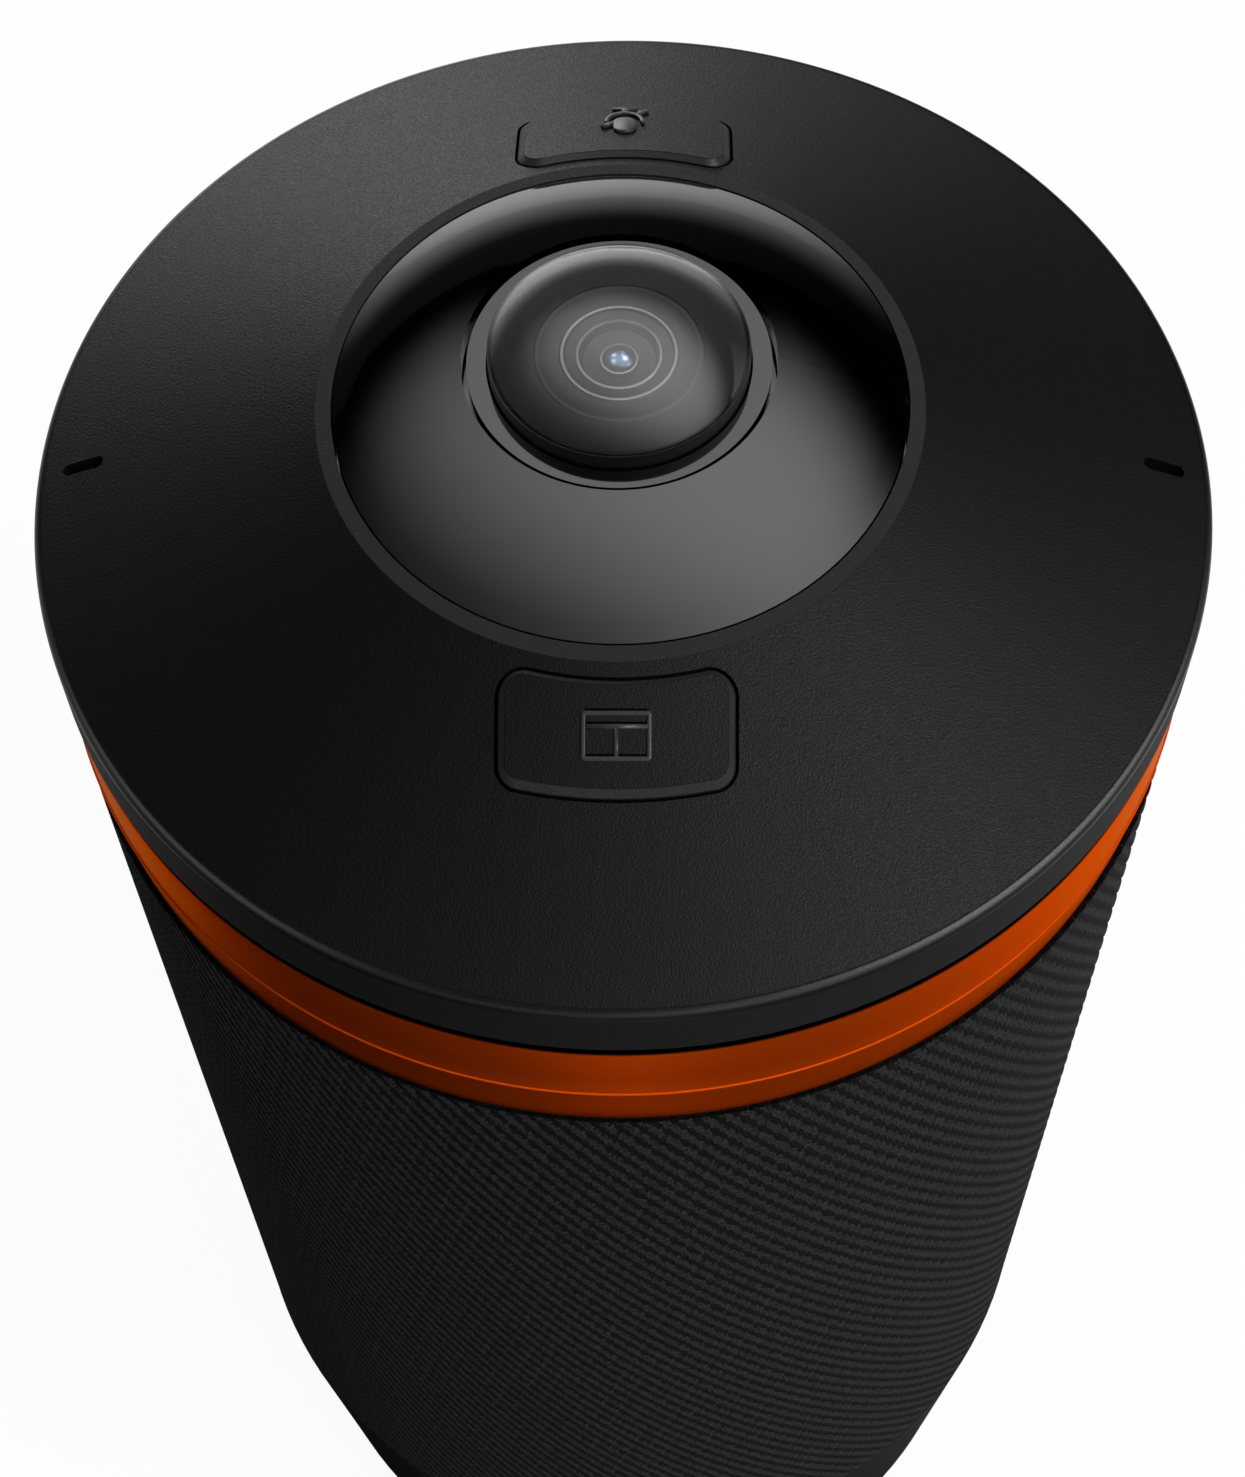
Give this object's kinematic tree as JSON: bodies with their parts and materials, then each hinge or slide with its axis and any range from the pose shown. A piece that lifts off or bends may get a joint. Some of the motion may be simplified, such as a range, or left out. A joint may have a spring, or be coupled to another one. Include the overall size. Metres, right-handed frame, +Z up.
{
  "type": "tower webcam",
  "caption": "Fabric-covered table-top conference webcam: upward fisheye lens in a glossy dome, conical top cover with push buttons and microphone slots, orange ring, tapered base.",
  "frame": {"origin": "on the table under the tower's axis", "axes": "+Z up along the tower, -Y towards the front with the layout button, ports at +Y"},
  "size_m": [0.0904, 0.0904, 0.1995],
  "materials": {
    "cover_plastic": "fine matt texture",
    "dome_gloss": "polished black",
    "trim_black": "satin black",
    "barrel_black": "black anodised",
    "optical_glass": "coated optical glass",
    "filter_glass": "infra-red cut coating",
    "ring_orange": "satin orange anodised",
    "fabric_charcoal": "diagonal corded weave",
    "base_plastic": "matt black",
    "frame_plastic": "moulded black",
    "foot_rubber": "matt rubber",
    "gasket_rubber": "soft silicone",
    "steel": "zinc plated",
    "port_steel": "stamped stainless",
    "insert_brass": "turned brass",
    "post_metal": "turned aluminium",
    "board_green": "solder mask",
    "chip_black": "moulded package",
    "sensor_package": "sensor package",
    "mic_can": "plated can",
    "switch_body": "moulded switch",
    "switch_plunger": "moulded plunger",
    "heat_sink_metal": "extruded aluminium",
    "speaker_steel": "black painted steel",
    "magnet_ferrite": "ferrite and steel",
    "coil_copper": "copper winding",
    "cone_paper": "pressed paper"
  },
  "bodies": {
    "tower": {"top_cover": "cover_plastic", "dome_bezel": "dome_gloss", "lens_trim_ring": "trim_black", "lens_barrel": "barrel_black", "lens_spacer": "barrel_black", "aperture_ring": "barrel_black", "rear_lens_spacer": "barrel_black", "front_lens": "optical_glass", "second_lens": "optical_glass", "rear_lens": "optical_glass", "ir_cut_filter": "filter_glass", "orange_ring": "ring_orange", "fabric_sleeve": "fabric_charcoal", "base_shell": "base_plastic", "bottom_plate": "base_plastic", "upper_frame": "frame_plastic", "grille_tube": "frame_plastic", "speaker_enclosure": "frame_plastic", "sound_diffuser": "frame_plastic", "lens_holder": "frame_plastic", "foot_ring": "foot_rubber", "microphone_gaskets": "gasket_rubber", "speaker_surround": "gasket_rubber", "base_screws": "steel", "enclosure_screws": "steel", "port_board_screws": "steel", "main_board_screws": "steel", "cover_screws": "steel", "frame_post_screws": "steel", "holder_screws": "steel", "ballast_plate": "steel", "usb_c_receptacles": "port_steel", "tripod_insert": "insert_brass", "frame_posts": "post_metal", "port_board": "board_green", "main_board": "board_green", "top_board": "board_green", "sensor_board": "board_green", "main_processor": "chip_black", "image_sensor": "sensor_package", "microphones": "mic_can", "tactile_switches": "switch_body", "heat_sink": "heat_sink_metal", "speaker_basket": "speaker_steel", "speaker_magnet": "magnet_ferrite", "voice_coil": "coil_copper", "speaker_cone": "cone_paper", "dust_cap": "cone_paper"},
    "layout_key": {"layout_button": "cover_plastic", "layout_plunger": "switch_plunger"},
    "mute_key": {"mute_button": "cover_plastic", "mute_plunger": "switch_plunger"}
  },
  "joints": [
    {"name": "layout_button_press", "type": "slide", "parent": "tower", "child": "layout_key", "axis": [0, 0, 1], "range_m": [-0.0004, 0], "stiffness_N_per_m": 4000},
    {"name": "mute_button_press", "type": "slide", "parent": "tower", "child": "mute_key", "axis": [0, 0, 1], "range_m": [-0.0004, 0], "stiffness_N_per_m": 4000}
  ]
}
